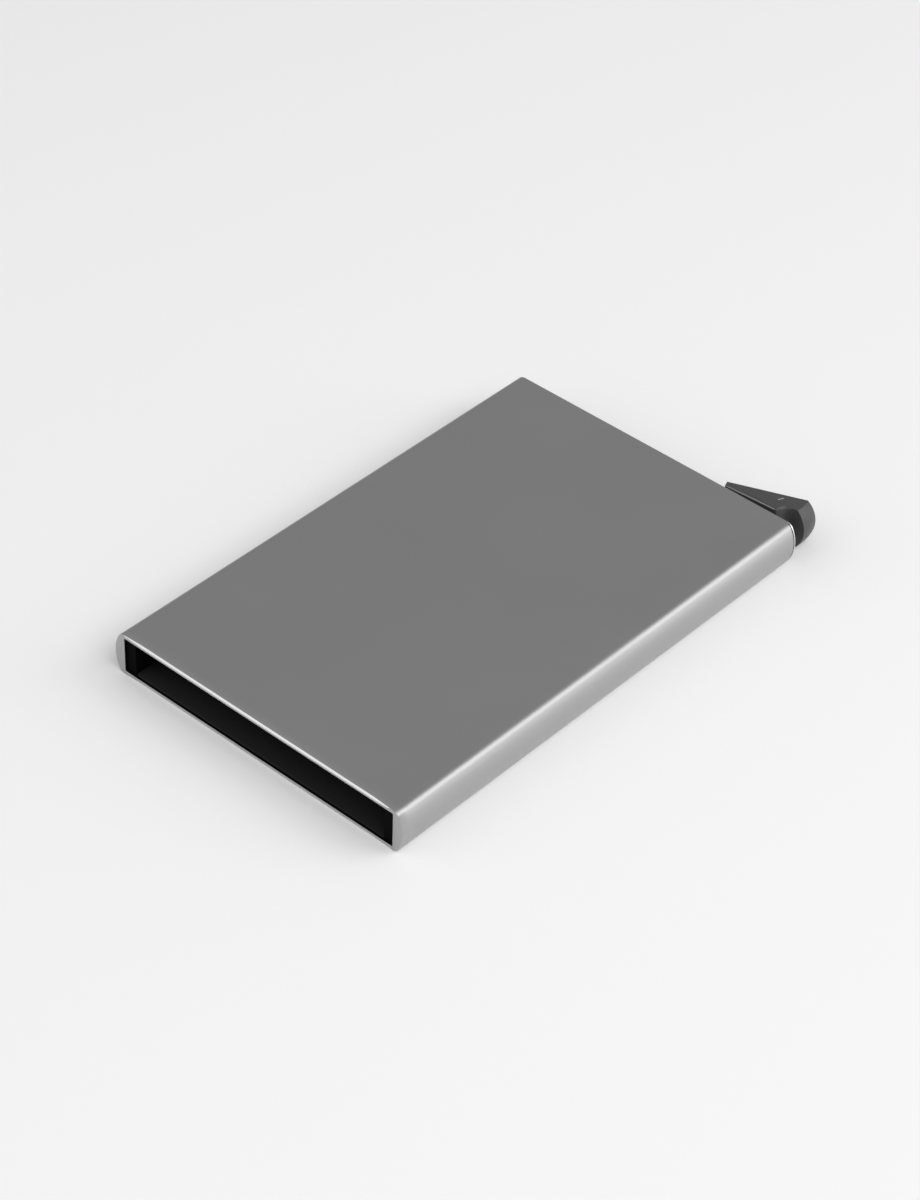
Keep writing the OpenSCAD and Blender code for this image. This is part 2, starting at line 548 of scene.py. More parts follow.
class Shells:
    """Closed surfaces gathered into one mesh. Lengths go in as millimetres."""

    def __init__(self) -> None:
        """Start with nothing."""
        self.points: list[np.ndarray] = []
        self.faces: list[list[int]] = []
        self.finish: list[int] = []
        self.count = 0

    def grid(self, grid: np.ndarray, ring: bool, finish: np.ndarray | int = 0, flip: bool = False) -> None:
        """Add a surface of rows and columns whose columns close on themselves.

        Args:
            grid: points by row and column.
            ring: the last row joins the first. Otherwise both ends get a flat cap.
            finish: material index of each face by row and column, or of all.
            flip: turn the faces over.
        """
        rows, columns = grid.shape[:2]
        row = np.arange(rows if ring else rows - 1)[:, None]
        column = np.arange(columns)[None, :]
        next_row = (row + 1) % rows
        next_column = (column + 1) % columns
        corner = (
            row * columns + column,
            row * columns + next_column,
            next_row * columns + next_column,
            next_row * columns + column,
        )
        quads = np.stack(np.broadcast_arrays(*corner), axis=-1)
        if flip:
            quads = quads[..., ::-1]
        per_face = np.broadcast_to(finish, quads.shape[:2])
        self.faces += (quads.reshape(-1, 4) + self.count).tolist()
        self.finish += per_face.ravel().astype(int).tolist()
        if not ring:
            low = np.arange(columns)[::-1] + self.count
            high = np.arange(columns) + (rows - 1) * columns + self.count
            caps = (low[::-1], high[::-1]) if flip else (low, high)
            self.faces += [cap.tolist() for cap in caps]
            self.finish += [0, 0]
        self.points.append(grid.reshape(-1, 3))
        self.count += rows * columns

    def prism(self, outline: np.ndarray, levels: list[tuple[float, float]]) -> None:
        """Add an outline raised through levels, each moved in along the outline's normals.

        Args:
            outline: points (x, y), counter-clockwise.
            levels: height and inset of each level, from the lowest.
        """
        table = np.array(levels)
        side = outline[None] - outward(outline)[None] * table[:, 1, None, None]
        height = np.broadcast_to(table[:, 0, None, None], (*side.shape[:2], 1))
        self.grid(np.concatenate((side, height), axis=-1), ring=False)

    def piece(self, name: str, materials: list[bpy.types.Material], sharp: float = 35.0) -> bpy.types.Object:
        """Make the object.

        Args:
            name: the piece's name.
            materials: its materials, by index.
            sharp: edges that turn more than this many degrees stay crisp.

        Returns:
            The new object.
        """
        mesh = bpy.data.meshes.new(name)
        mesh.from_pydata((np.concatenate(self.points) * MM).tolist(), [], self.faces)
        for material in materials:
            mesh.materials.append(material)
        mesh.polygons.foreach_set("material_index", self.finish)
        mesh.polygons.foreach_set("use_smooth", np.ones(len(self.faces), dtype=bool))
        mesh.set_sharp_from_angle(angle=math.radians(sharp))
        mesh.update()
        piece = bpy.data.objects.new(name, mesh)
        bpy.context.scene.collection.objects.link(piece)
        return piece


def eased(low: float, high: float, ease: float, steps: int = 4) -> list[tuple[float, float]]:
    """Levels of a wall whose lower and upper edges are quarter circles.

    Args:
        low: the wall's lowest point.
        high: its highest point.
        ease: radius of the quarter circles.
        steps: segments of each.

    Returns:
        Height and inset of each level.
    """
    turn = np.linspace(0.0, math.pi / 2, steps + 1)
    rise = ease * (1 - np.cos(turn))
    inset = ease * (1 - np.sin(turn))
    lower = list(zip((low + rise).tolist(), inset.tolist()))
    upper = list(zip((high - rise).tolist(), inset.tolist()))
    return lower + upper[::-1]


# ---------------------------------------------------------------- pieces

MOUTH_Y = in_mm(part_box("housing")[0].y)
END_Y = in_mm(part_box("housing")[1].y)
MID_Z = in_mm(frame["joints"][0]["pos_m"][2])
PIVOT = (in_mm(frame["joints"][0]["pos_m"][0]), in_mm(frame["joints"][0]["pos_m"][1]))


class Zone(IntEnum):
    """Finish of a band of the sleeve. The first three are its materials' indices. The last gives the bottom of the
    far groove on the sides the near-black cavity finish as a painted shade line.
    """

    SKIN = 0
    BARE = 1
    INSIDE = 2
    BARE_SIDES = 3
    BARE_FLATS = 4
    SHADE_PAINTED_SIDES = 5


@dataclass(frozen=True)
class Turn:
    """One turn round the sleeve.

    Args:
        depth: how far it lies in the metal, from the outline or from the cavity's wall.
        y: its place along the sleeve.
        zone: finish of the band that follows it.
    """

    depth: float
    y: float
    zone: Zone


@dataclass
class Sleeve:
    """The extruded sleeve, with a chamfered mouth and a rounded far end.

    It is one closed skin of turns, down the outside and back through the cavity.

    Args:
        section: its cross-section.
        cavity: width and height of the cavity.
        cavity_radius: radius of the cavity's corners.
        chamfer: size of the mouth's chamfer above and below. It fades over the sides.
        crown: how far both edges of the chamfer are eased.
        chamfer_end: distance from the middle at which the chamfer has faded.
        chamfer_fade: length over which it fades.
        chamfer_rest: share of the chamfer that is left on the sides.
        far_radius: radius of the far end's outer edge.
        deburr: length of the bare band before that edge, on the sides.
        groove: depth and half the width of the groove before the band, on the sides, whose bottom is coloured near
            black as painted shade.
        lip: size of the broken inner edges.
        side_start: distance from the middle at which the band and the groove begin.
        side_fade: length over which the groove deepens.
    """

    section: Section = Section(63.0, 8.2, 1.3, 1.3)
    cavity: tuple[float, float] = (58.8, 6.9)
    cavity_radius: float = 0.25
    chamfer: float = 0.28
    crown: float = 0.03
    chamfer_end: float = 29.2
    chamfer_fade: float = 2.2
    chamfer_rest: float = 0.15
    far_radius: float = 0.3
    deburr: float = 0.25
    groove: float = 0.1
    lip: float = 0.06
    side_start: float = 29.6
    side_fade: float = 0.4

    def mouth(self) -> list[Turn]:
        """The chamfer, about a 45 degree slope from the cut face to the outside, with eased edges.

        Returns:
            Its four turns.
        """
        low = self.crown * 0.6
        return [
            Turn(self.chamfer + self.crown, MOUTH_Y, Zone.BARE_FLATS),
            Turn(self.chamfer - self.crown, MOUTH_Y + low, Zone.BARE_FLATS),
            Turn(self.crown, MOUTH_Y + self.chamfer - low, Zone.BARE_FLATS),
            Turn(0.0, MOUTH_Y + self.chamfer + self.crown, Zone.SKIN),
        ]

    def length(self) -> list[Turn]:
        """Nine even turns along the plain outside, from 2 mm inside one end to the other."""
        places = np.linspace(MOUTH_Y + 2, END_Y - 2, 9)
        return [Turn(0.0, y, Zone.SKIN) for y in places.tolist()]

    def far_end(self) -> list[Turn]:
        """A V groove coloured near black on the sides as painted shade, the bare band and a quarter circle over
        the edge to the cut face.

        Returns:
            Three turns of the groove and eight of the edge.
        """
        middle = END_Y - self.far_radius - self.deburr
        angle = np.linspace(0.0, math.pi / 2, 8)
        depth = self.far_radius * (1 - np.cos(angle))
        y = END_Y - self.far_radius * (1 - np.sin(angle))
        zone = [Zone.BARE_SIDES] * (len(angle) - 1) + [Zone.SKIN]
        return [
            Turn(0.0, middle - self.groove, Zone.SKIN),
            Turn(self.groove, middle, Zone.SHADE_PAINTED_SIDES),
            Turn(0.0, middle + self.groove, Zone.BARE_SIDES),
            *map(Turn, depth.tolist(), y.tolist(), zone),
        ]

    def hollow(self) -> list[Turn]:
        """The cavity's wall from the far end to the mouth, with both of its edges broken.

        Returns:
            Its four turns.
        """
        return [
            Turn(self.lip, END_Y, Zone.SKIN),
            Turn(0.0, END_Y - self.lip, Zone.INSIDE),
            Turn(0.0, MOUTH_Y + self.lip, Zone.SKIN),
            Turn(self.lip, MOUTH_Y, Zone.SKIN),
        ]

    def build(self, skin: bpy.types.Material, bare: bpy.types.Material,
              inside: bpy.types.Material) -> bpy.types.Object:
        """Make the sleeve.

        The chamfer and the groove are scaled by a share that rises or falls in a straight
        line with the distance from the middle.

        Args:
            skin: finish of the outside and the cut faces.
            bare: finish of the chamfer and the rounded end.
            inside: finish of the cavity, also the painted shade at the bottom of the far groove on the sides.

        Returns:
            The sleeve.
        """
        mouth, length, far_end, hollow = self.mouth(), self.length(), self.far_end(), self.hollow()
        turns = mouth + length + far_end + hollow
        loops = [self.section.loop(turn.depth) for turn in mouth + length + far_end]
        loops += [self.section.cavity(*self.cavity, self.cavity_radius, turn.depth) for turn in hollow]
        flat = np.stack(loops)
        y = np.repeat(np.array([[turn.y] for turn in turns]), flat.shape[1], axis=1)
        plain = flat[len(mouth)].copy()
        off_middle = np.abs(plain[:, 0])
        fading = np.clip((self.chamfer_end - off_middle) / self.chamfer_fade, 0.0, 1.0)
        share = self.chamfer_rest + (1 - self.chamfer_rest) * fading
        front = slice(0, len(mouth))
        flat[front] = plain + (flat[front] - plain) * share[None, :, None]
        y[front] = MOUTH_Y + (y[front] - MOUTH_Y) * share
        sides = np.clip((off_middle - self.side_start) / self.side_fade, 0.0, 1.0)
        groove = len(mouth) + len(length) + 1
        flat[groove] = plain + (flat[groove] - plain) * sides[:, None]
        zone = np.array([turn.zone for turn in turns])[:, None]
        on_side = np.abs(flat[..., 0]) > self.side_start
        finish = np.where(zone == Zone.BARE_SIDES, np.where(on_side, Zone.BARE, Zone.SKIN), zone)
        cut = share > 2 * self.chamfer_rest
        finish = np.where(zone == Zone.BARE_FLATS, np.where(cut, Zone.BARE, Zone.SKIN), finish)
        # The groove's bottom on the sides takes the near-black cavity finish: painted shade.
        dark = sides > 0.5
        finish = np.where(zone == Zone.SHADE_PAINTED_SIDES, np.where(dark, Zone.INSIDE, Zone.SKIN), finish)
        shells = Shells()
        grid = np.stack((flat[..., 0], y, flat[..., 1] + MID_Z), axis=-1)
        shells.grid(grid, ring=True, finish=finish, flip=True)
        return shells.piece("sleeve", [skin, bare, inside])


class LeverFinish(IntEnum):
    """Finish of a part of the lever, as the index of its material. The second is a pale painted glint, the third a
    lighter painted highlight along the wedge's inner edge.
    """

    PLAIN = 0
    PAINTED_GLINT = 1
    PAINTED_EDGE_HIGHLIGHT = 2


@dataclass
class Lever:
    """The lever: a wedge and a finger tab outside, and a stepped arm on a hub inside.

    Args:
        section: cross-section of the finger tab.
        height: of the tab.
        taper_x: where the lever has its full height.
        taper: how much half the height falls for each length towards the wedge's tip.
        near_y: the tab's face towards the sleeve.
        notch_radius: radius of the notch between the tab and the neck.
        notch_centre: its centre.
        far_corner: where the outer face turns.
        wedge_slope: how the outer face falls over the wedge.
        tab_slope: how it falls over the tab.
        corner_radius: radius of the tab's outer corner in plan.
        tip_outer: outer corner of the wedge's tip.
        tip_inner: its inner corner.
        tip_ease: ease of those two corners.
        edge_x: first and last point of the wedge's inner edge.
        edge_slope: how much nearer to the sleeve that edge comes for each length.
        edge_end: where that edge's line ends, beside the notch.
        outer_end: last point of the outer face, beside the tip.
        lean: slope of the tab's side in plan at its near end.
        curl: how much that side turns back for the square of the length.
        crisp: radius of the lever's sharper edges.
        soft: radius of the edges round the tip and at both ends of the notch.
        inner_edge_radius: radius of the wedge's inner edge.
        scoop: how much rounder the notch's edges are at its middle.
        corner_steps: segments of each of the tip's corners.
        edge_steps: points along the wedge's inner edge.
        notch_steps: points round the notch.
        bearing: lowest and highest point of the part inside the sleeve.
        shoulder_x: left and right side of the shoulder beside the sleeve's end.
        shoulder_y: its near and far side.
        shoulder_z: its underside and top.
        hub_radius: outer radius of the hub.
        bore_radius: inner radius of the hub.
        steps: number of card steps.
        reach: length of the longest step.
        setback: how much shorter each step is than the one below.
    """

    section: Section = Section(61.14, 8.5, 2.0, 0.5)
    height: float = 8.1
    taper_x: float = 28.2
    taper: float = 0.09
    near_y: float = 52.44
    notch_radius: float = 2.24
    notch_centre: tuple[float, float] = (28.14, 50.2)
    far_corner: tuple[float, float] = (28.3, 55.92)
    wedge_slope: float = 0.2933
    tab_slope: float = 0.41
    corner_radius: float = 0.5
    tip_outer: tuple[float, float] = (14.16, 51.8)
    tip_inner: tuple[float, float] = (14.65, 50.5)
    tip_ease: tuple[float, float] = (0.2, 0.25)
    edge_x: tuple[float, float] = (15.8, 25.6)
    edge_slope: float = 0.0267
    edge_end: tuple[float, float] = (25.9, 50.2)
    outer_end: float = 15.0
    lean: float = 0.092
    curl: float = 0.054
    crisp: float = 0.12
    soft: float = 0.16
    inner_edge_radius: float = 0.26
    scoop: float = 0.7
    corner_steps: int = 5
    edge_steps: int = 12
    notch_steps: int = 22
    bearing: tuple[float, float] = (1.75, 6.45)
    shoulder_x: tuple[float, float] = (25.35, 26.2)
    shoulder_y: tuple[float, float] = (49.3, 50.9)
    shoulder_z: tuple[float, float] = (1.5, 6.7)
    hub_radius: float = 3.6
    bore_radius: float = 1.05
    steps: int = 5
    reach: float = 44.0
    setback: float = 6.0

    def build(self, plastic: bpy.types.Material, painted_glint: bpy.types.Material,
              painted_edge_highlight: bpy.types.Material) -> bpy.types.Object:
        """Make the lever.

        Args:
            plastic: finish of the whole lever.
            painted_glint: finish of the small pale spot on its top, whose pale colour is a painted glint.
            painted_edge_highlight: finish of the wedge's inner top edge, lighter as a painted highlight.

        Returns:
            The lever.
        """
        shells = Shells()
        self.add_outside(shells)
        self.add_root(shells)
        self.add_bead(shells)
        self.add_hub(shells)
        self.add_arms(shells)
        return shells.piece("lever_body", [plastic, painted_glint, painted_edge_highlight], sharp=27.0)

    @property
    def tip_points(self) -> int:
        """Number of points round the tip's two corners."""
        return 2 * (self.corner_steps + 1)

    def half_height(self, x: np.ndarray) -> np.ndarray:
        """Half of the lever's height at x: level over the tab, then falling in a straight line."""
        return self.height / 2 - self.taper * np.maximum(self.taper_x - x, 0.0)

    def outer_y(self, x: np.ndarray) -> np.ndarray:
        """The outer face: two straight lines that meet at the far corner."""
        run = x - self.far_corner[0]
        return self.far_corner[1] + np.where(run < 0, self.wedge_slope, self.tab_slope) * run

    @staticmethod
    def fillet(below: np.ndarray, radius: np.ndarray | float) -> np.ndarray:
        """How far a rounded edge, a quarter circle, pulls in.

        Args:
            below: distance below the face.
            radius: of the edge.

        Returns:
            The inset at each distance.
        """
        share = np.clip(1 - below / radius, 0.0, 1.0)
        return radius * (1 - np.sqrt(1 - share ** 2))

    def inner_chain(self) -> tuple[np.ndarray, np.ndarray]:
        """The plan line from the tip along the wedge and round the notch, a quarter circle.

        Returns:
            Points (x, y), and each point's edge radius, which swells along the notch as a
            squared sine.
        """
        outer_ease, inner_ease = self.tip_ease
        corners = [
            (*self.tip_outer, outer_ease), (*self.tip_inner, inner_ease),
            (*self.edge_end, 0.1), (*self.far_corner, 0.1),
        ]
        tip = rounded_outline(corners, self.corner_steps)[:self.tip_points]
        edge_x = np.linspace(*self.edge_x, self.edge_steps)
        edge_y = self.tip_inner[1] - (edge_x - self.tip_inner[0]) * self.edge_slope
        angle = np.linspace(math.pi, math.pi / 2, self.notch_steps)
        notch = np.stack((
            self.notch_centre[0] + self.notch_radius * np.cos(angle),
            self.notch_centre[1] + self.notch_radius * np.sin(angle),
        ), axis=1)
        chain = np.concatenate((tip, np.stack((edge_x, edge_y), axis=1), notch))
        swell = self.soft + self.scoop * np.sin(np.linspace(0.0, math.pi, self.notch_steps)) ** 2
        round_tip = np.full(len(tip), self.soft)
        return chain, np.concatenate((round_tip, np.full(self.edge_steps, self.inner_edge_radius), swell))

    def tab_side(self, height: np.ndarray) -> tuple[np.ndarray, np.ndarray]:
        """The tab's side, from its near face to its outer corner.

        In plan it is a shallow parabola that ends in a circular corner, and in section it
        follows the bulge.

        Args:
            height: each level's distance from mid height.

        Returns:
            x and y by level and place.
        """
        widest = self.section.width / 2 - self.section.side_depth(height)[:, None]
        ease = self.fillet(self.height / 2 - np.abs(height), self.crisp)[:, None]
        near = self.near_y + ease
        steps = 14
        last = 1 - 0.2 * np.linspace(1.0, 0.0, steps)[1:] ** 2
        run = np.concatenate((np.linspace(0.0, 0.8, steps), last))[None, :]
        y = near + (self.outer_y(widest - self.corner_radius) - ease - near) * run
        along = y - self.near_y
        x = widest + self.lean * along - self.curl * along ** 2
        reach = np.clip(self.corner_radius - (self.outer_y(x) - y), 0.0, self.corner_radius)
        return x - (self.corner_radius - np.sqrt(self.corner_radius ** 2 - reach ** 2)), y

    def add_outside(self, shells: Shells) -> None:
        """Add the wedge and the tab: one plan line lofted through levels.

        A level is a share of the local half height, from -1 to 1, and the plan line pulls in
        near both faces by its edge's fillet. The levels lie closest together at the edges.

        Args:
            shells: the lever's shells.
        """
        depth = np.array([
            0.0, 0.008, 0.03, 0.07, 0.12, 0.19, 0.28, 0.4, 0.55, 0.75, 1.0, 1.3, 1.7, 2.2, 2.8, 3.4,
        ])
        share = 1 - depth / (self.height / 2)
        level = np.concatenate((-share, [0.0], share[::-1]))[:, None]
        middle = len(depth)
        chain, radius = self.inner_chain()
        outer_x = np.linspace(self.far_corner[0], self.outer_end, 24)[1:]
        outer = np.stack((outer_x, self.outer_y(outer_x)), axis=1)
        side_x, side_y = self.tab_side(level[:, 0] * self.height / 2)
        thirds = np.array([[0.34, 0.67]])
        near_x = self.notch_centre[0] + (side_x[:, :1] - self.notch_centre[0]) * thirds
        near = np.stack((near_x, np.broadcast_to(side_y[:, :1], near_x.shape)), axis=-1)
        side = np.stack((side_x, side_y), axis=-1)
        fixed = np.concatenate((outer, chain))
        closed = np.concatenate((side[middle], fixed, near[middle]))
        normal = outward(closed)[side.shape[1]:side.shape[1] + len(fixed)]
        radii = np.concatenate((np.full(len(outer), self.crisp), radius))[None, :]
        room = self.half_height(fixed[None, :, 0]) * (1 - np.abs(level))
        fixed_grid = fixed[None] - normal[None] * self.fillet(room, radii)[..., None]
        plan = np.concatenate((side, fixed_grid, near), axis=1)
        z = MID_Z + level * self.half_height(plan[..., 0])
        finish = np.full((len(level) - 1, plan.shape[1]), LeverFinish.PLAIN)
        inner_edge = side.shape[1] + len(outer)
        # The top bands along the wedge's inner edge get a lighter nylon as a painted highlight.
        top_bands = slice(-4, -1)
        edge_start = inner_edge + self.tip_points
        highlighted_edge = slice(edge_start - self.corner_steps, edge_start + self.edge_steps - 1)
        finish[top_bands, highlighted_edge] = LeverFinish.PAINTED_EDGE_HIGHLIGHT
        shells.grid(np.concatenate((plan, z[..., None]), axis=-1), ring=False, finish=finish)

    def add_root(self, shells: Shells) -> None:
        """Add the neck through the slot and the shoulder beside the sleeve's end.

        Args:
            shells: the lever's shells.
        """
        x, y = PIVOT
        neck = [
            (x - 3, y + 1.4, 0.2), (x + 3, y + 1.4, 0.2),
            (25.9, 47.5, 0.3), (25.85, 51.3, 0.2), (x - 4, 51.2, 0.2),
        ]
        shells.prism(rounded_outline(neck), eased(*self.bearing, 0.1))
        left, right = self.shoulder_x
        near, far = self.shoulder_y
        ease = 0.3
        shoulder = [(left, near, ease), (right, near, ease), (right, far, ease), (left, far, ease)]
        shells.prism(rounded_outline(shoulder), eased(*self.shoulder_z, 0.25))

    def add_bead(self, shells: Shells) -> None:
        """Add the fine moulded line on the upper face, and past its end a small raised spot whose pale colour is a
        painted glint.

        Each is a flattened tube carried along its path.

        Args:
            shells: the lever's shells.
        """
        line = np.array([(25.72, 50.42), (25.2, 50.85), (24.88, 51.35), (24.78, 52.0), (24.45, 52.6)])
        # The second path is a small raised spot, coloured pale as a painted glint.
        painted_glint = np.array([(24.26, 52.86), (24.4, 53.14), (24.6, 53.5), (24.78, 53.82)])
        rise = 0.04
        for path, half_width, finish in ((line, 0.04, LeverFinish.PLAIN), (painted_glint, 0.095, LeverFinish.PAINTED_GLINT)):
            along = np.gradient(path, axis=0)
            along /= np.linalg.norm(along, axis=1, keepdims=True)
            left = np.stack((-along[:, 1], along[:, 0]), axis=1)
            angle = np.linspace(0.0, 2 * math.pi, 9)[:-1]
            plan = path[:, None, :] + half_width * np.cos(angle)[None, :, None] * left[:, None, :]
            z = MID_Z + self.half_height(plan[..., :1]) + rise * np.sin(angle)[None, :, None]
            shells.grid(np.concatenate((plan, z), axis=-1), ring=False, finish=finish)

    def add_hub(self, shells: Shells) -> None:
        """Add the ring that turns on the pin: a bevelled rectangle turned round the pivot.

        Args:
            shells: the lever's shells.
        """
        low, high = self.bearing
        inner, outer, ease = self.bore_radius, self.hub_radius, 0.1
        profile = np.array([
            (outer - ease, low), (outer, low + ease), (outer, high - ease), (outer - ease, high),
            (inner + ease, high), (inner, high - ease), (inner, low + ease), (inner + ease, low),
        ])
        angle = np.linspace(0.0, 2 * math.pi, 65)[:-1]
        x = PIVOT[0] + profile[:, :1] * np.cos(angle)[None, :]
        y = PIVOT[1] + profile[:, :1] * np.sin(angle)[None, :]
        z = np.broadcast_to(profile[:, 1:], x.shape)
        shells.grid(np.stack((x, y, z), axis=-1), ring=True)

    def add_arms(self, shells: Shells) -> None:
        """Add the card steps, each shorter than the one below it and sunk a little into it.

        Args:
            shells: the lever's shells.
        """
        low, high = self.bearing
        step = (high - low) / self.steps
        for index in range(self.steps):
            sunk = 0.05 if index else 0.0
            bottom = low + index * step - sunk
            outline = self.arm_outline(self.reach - self.setback * index)
            shells.prism(outline, eased(bottom, low + (index + 1) * step, 0.08, 3))

    @staticmethod
    def arm_outline(reach: float) -> np.ndarray:
        """One step in plan: a half-circle tip, a straight front and a hollow round the pin.

        Args:
            reach: from the pivot to the tip.

        Returns:
            Points (x, y), counter-clockwise.
        """
        x, y = PIVOT
        tip = 1.2
        front = -4.5
        pin_hollow = 1.6
        angle = np.linspace(-0.3 * math.pi, -1.15 * math.pi, 14)
        hollow = np.stack((x + pin_hollow * np.cos(angle), y + pin_hollow * np.sin(angle)), axis=1)
        round_tip = np.linspace(0.5 * math.pi, 1.5 * math.pi, 14)
        tip_line = np.stack((
            x + tip - reach + tip * np.cos(round_tip),
            y + front + tip + tip * np.sin(round_tip),
        ), axis=1)
        ends = np.array([(x, y + front), (x + 1.0, y + front + 0.5), (x + 1.2, y + front + tip)])
        heel = np.array([(x - 3.2, y + 1.7)])
        return np.concatenate((tip_line, ends, hollow, heel))


@dataclass
class FeltPad:
    """A felt brake pad in its rail's pocket, crowned towards the cards.

    Args:
        word: left or right.
        thickness: at the crown.
        corner: ease of its corners.
    """

    word: str
    thickness: float = 0.55
    corner: float = 0.5

    def build(self, felt: bpy.types.Material) -> bpy.types.Object:
        """Make the pad: a rounded rectangle raised through levels that pull in as a crown.

        Args:
            felt: its finish.

        Returns:
            The pad.
        """
        low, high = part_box(f"{self.word}_brake_pad")
        side = 1 if low.x > 0 else -1
        near, far, bottom, top = in_mm(low.y), in_mm(high.y), in_mm(low.z), in_mm(high.z)
        base = max(abs(in_mm(low.x)), abs(in_mm(high.x)))
        ease = self.corner
        outline = rounded_outline([
            (near, bottom, ease), (far, bottom, ease), (far, top, ease), (near, top, ease),
        ])
        crown = [(0.0, 0.02), (0.3, 0.0), (0.4, 0.03), (0.48, 0.1), (0.52, 0.2), (0.545, 0.35)]
        shells = Shells()
        shells.prism(outline, [*crown, (self.thickness, 0.45)])
        plan = shells.points[0]
        shells.points[0] = np.stack((side * (base - plan[:, 2]), plan[:, 0], plan[:, 1]), axis=1)
        if side > 0:
            shells.faces = [face[::-1] for face in shells.faces]
        return shells.piece(f"{self.word}_felt_pad", [felt])


@dataclass
class FlockSheet:
    """A flocked lining sheet on one of the flat walls.

    Args:
        word: upper or lower.
        corner: ease of its corners.
        edge: ease of its upper and lower edges.
    """

    word: str
    corner: float = 0.4
    edge: float = 0.12

    def build(self, flock: bpy.types.Material) -> bpy.types.Object:
        """Make the sheet: a rounded rectangle with eased edges.

        Args:
            flock: its finish.

        Returns:
            The sheet.
        """
        low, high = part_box(f"{self.word}_lining")
        left, right, near, far = in_mm(low.x), in_mm(high.x), in_mm(low.y), in_mm(high.y)
        ease = self.corner
        outline = rounded_outline([
            (left, near, ease), (right, near, ease), (right, far, ease), (left, far, ease),
        ])
        shells = Shells()
        shells.prism(outline, eased(in_mm(low.z), in_mm(high.z), self.edge))
        return shells.piece(f"{self.word}_flock_sheet", [flock])


# ---------------------------------------------------------------- studio


@dataclass
class SoftBox:
    """A rectangular lamp that looks at the case.

    Args:
        name: the lamp's name.
        azimuth: degrees from +Y towards +X, seen from the case.
        elevation: degrees above the floor.
        distance: from the case, in metres.
        size: width and height in metres.
        power: in watts.
    """

    name: str
    azimuth: float
    elevation: float
    distance: float
    size: tuple[float, float]
    power: float

    def place(self) -> None:
        """Add the lamp to the scene."""
        lamp = bpy.data.lights.new(self.name, "AREA")
        lamp.shape = "RECTANGLE"
        lamp.size, lamp.size_y = self.size
        lamp.energy = self.power
        lamp_object = bpy.data.objects.new(self.name, lamp)
        bpy.context.scene.collection.objects.link(lamp_object)
        turn = math.radians(self.azimuth)
        lift = math.radians(self.elevation)
        away = Vector((math.sin(turn) * math.cos(lift), math.cos(turn) * math.cos(lift), math.sin(lift)))
        lamp_object.location = away * self.distance
        lamp_object.rotation_euler = away.to_track_quat("Z", "Y").to_euler()


@dataclass
class Studio:
    """The floor, the lamps, the surroundings and the camera.

    Args:
        azimuth: of the camera, in degrees from -Y towards +X, seen from the case.
        elevation: of the camera, in degrees above the floor.
        roll: of the camera about its own axis, in degrees.
        distance: of the camera from its aim, in metres.
        aim: the point in the middle of the picture.
        lens: focal length in millimetres on a 36 mm sensor.
        floor_half: half of the floor's side, in metres.
        surroundings: colour of the light from all round.
    """

    azimuth: float = 40.52
    elevation: float = 39.86
    roll: float = 2.24
    distance: float = 0.5449
    aim: tuple[float, float, float] = (0.00025, -0.0012, 0.0041)
    lens: float = 99.12
    floor_half: float = 1.6
    surroundings: tuple[float, float, float] = (0.37, 0.37, 0.37)

    def build(self) -> None:
        """Make the whole studio."""
        self.place_camera()
        self.lay_floor()
        self.light()

    def place_camera(self) -> None:
        """Look down at the case from its mouth's right."""
        camera = bpy.data.cameras.new("studio_camera")
        camera.lens = self.lens
        camera.sensor_width = 36.0
        camera.sensor_fit = "AUTO"
        camera.clip_start = 0.01
        turn = math.radians(self.azimuth)
        lift = math.radians(self.elevation)
        back = Vector((math.sin(turn) * math.cos(lift), -math.cos(turn) * math.cos(lift), math.sin(lift)))
        right = Vector((math.cos(turn), math.sin(turn), 0.0))
        upright = Matrix((right, back.cross(right), back)).transposed()
        spin = Matrix.Rotation(math.radians(self.roll), 3, "Z")
        pose = (upright @ spin).to_4x4()
        pose.translation = Vector(self.aim) + back * self.distance
        camera_object = bpy.data.objects.new("studio_camera", camera)
        camera_object.matrix_world = pose
        bpy.context.scene.collection.objects.link(camera_object)
        bpy.context.scene.camera = camera_object

    def lay_floor(self) -> None:
        """Lay a flat sheet under the case."""
        half = self.floor_half
        corners = [(-half, -half, 0.0), (half, -half, 0.0), (half, half, 0.0), (-half, half, 0.0)]
        mesh = bpy.data.meshes.new("floor")
        mesh.from_pydata(corners, [], [(0, 1, 2, 3)])
        mesh.materials.append(PaperSweep().build())
        floor = bpy.data.objects.new("floor", mesh)
        bpy.context.scene.collection.objects.link(floor)

    def light(self) -> None:
        """Place the lamps and set the surroundings."""
        SoftBox("key_lamp", 50.0, 27.0, 1.3, (0.8, 1.3), 7.2).place()
        SoftBox("fill_lamp", -142.0, 36.0, 1.6, (1.8, 1.4), 6.0).place()
        SoftBox("front_lamp", 108.0, 51.0, 1.6, (1.4, 1.2), 12.0).place()
        world = bpy.data.worlds.new("surroundings")
        world.use_nodes = True
        background = world.node_tree.nodes["Background"]
        background.inputs["Color"].default_value = (*self.surroundings, 1.0)
        background.inputs["Strength"].default_value = 1.0
        bpy.context.scene.world = world
        bpy.context.scene.view_settings.view_transform = "Standard"


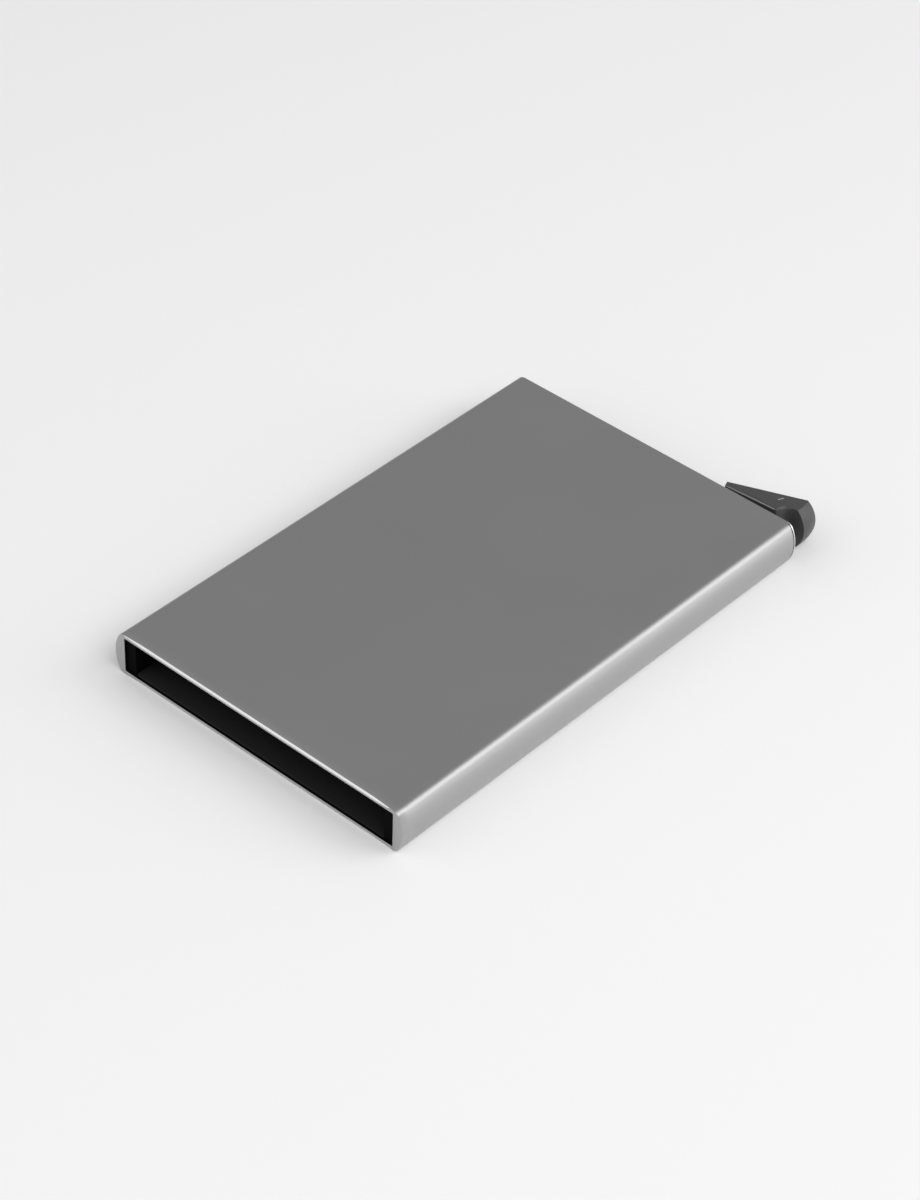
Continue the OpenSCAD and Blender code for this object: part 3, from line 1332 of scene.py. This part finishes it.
def make_finishes() -> dict[Slot, bpy.types.Material]:
    """Make one finish for each material slot.

    Returns:
        The finish of each slot.
    """
    return {
        Slot.SLEEVE: AnodisedAluminium().build(),
        Slot.INSERT: MouldedNylon("insert_nylon", (0.010, 0.010, 0.0105), specular=0.3).build(),
        Slot.LEVER: MouldedNylon("lever_nylon", (0.062, 0.062, 0.063), 0.44).build(),
        Slot.PIN: GroundSteel().build(),
        Slot.RAIL: MouldedNylon("rail_nylon", (0.004, 0.004, 0.0042), 0.7, specular=0.02).build(),
        Slot.FELT: PressedFelt("brake_felt", (0.006, 0.006, 0.006)).build(),
        Slot.FLOCK: PressedFelt("lining_flock", (0.002, 0.002, 0.002)).build(),
    }


def dress_nodes(finishes: dict[Slot, bpy.types.Material]) -> None:
    """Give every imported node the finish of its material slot.

    Args:
        finishes: the finish of each slot.
    """
    slots = {row["node"]: Slot(row["material_slot"]) for row in frame["record"]["subparts"]}
    for name, node in frame["nodes"].items():
        for index in range(len(node.data.materials)):
            node.data.materials[index] = finishes[slots[name]]
        LOG.info("%s: packed node, finish %s", name, slots[name].value)


def fit(piece: bpy.types.Object, body: str, node: str) -> bpy.types.Object:
    """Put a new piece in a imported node's place.

    Args:
        piece: the new piece.
        body: the body it moves with.
        node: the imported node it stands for.

    Returns:
        The piece.
    """
    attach(piece, body)
    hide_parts(node)
    LOG.info("%s: %d faces, rides on %s", piece.name, len(piece.data.polygons), body)
    return piece


def build_case(finishes: dict[Slot, bpy.types.Material]) -> None:
    """Make the sleeve, the lever, the pads and the linings in their nodes' places.

    Args:
        finishes: the finish of each slot.
    """
    bare = CutAluminium().build()
    cavity = MouldedNylon("cavity_black", (0.003, 0.003, 0.0032), 0.8, specular=0.08).build()
    # Pale nylon: the painted glint on the lever's top.
    painted_glint = MouldedNylon("painted_glint_nylon", (0.42, 0.42, 0.42), 0.35).build()
    # Lighter nylon: the painted highlight along the wedge's inner edge.
    painted_edge_highlight = MouldedNylon("painted_edge_highlight_nylon", (0.26, 0.26, 0.26), 0.3).build()
    fit(Sleeve().build(finishes[Slot.SLEEVE], bare, cavity), "case", "housing")
    fit(Lever().build(finishes[Slot.LEVER], painted_glint, painted_edge_highlight), "lever", "lever")
    for word in ("left", "right"):
        pad = FeltPad(word).build(finishes[Slot.FELT])
        fit(pad, "case", f"{word}_brake_pad")
    for word in ("upper", "lower"):
        flock = FlockSheet(word).build(finishes[Slot.FLOCK])
        fit(flock, "case", f"{word}_lining")


def main() -> None:
    """Build the studio, the finishes and the pieces."""
    logging.basicConfig(level=logging.INFO)
    Studio().build()
    finishes = make_finishes()
    dress_nodes(finishes)
    build_case(finishes)


if __name__ == "__main__":
    main()
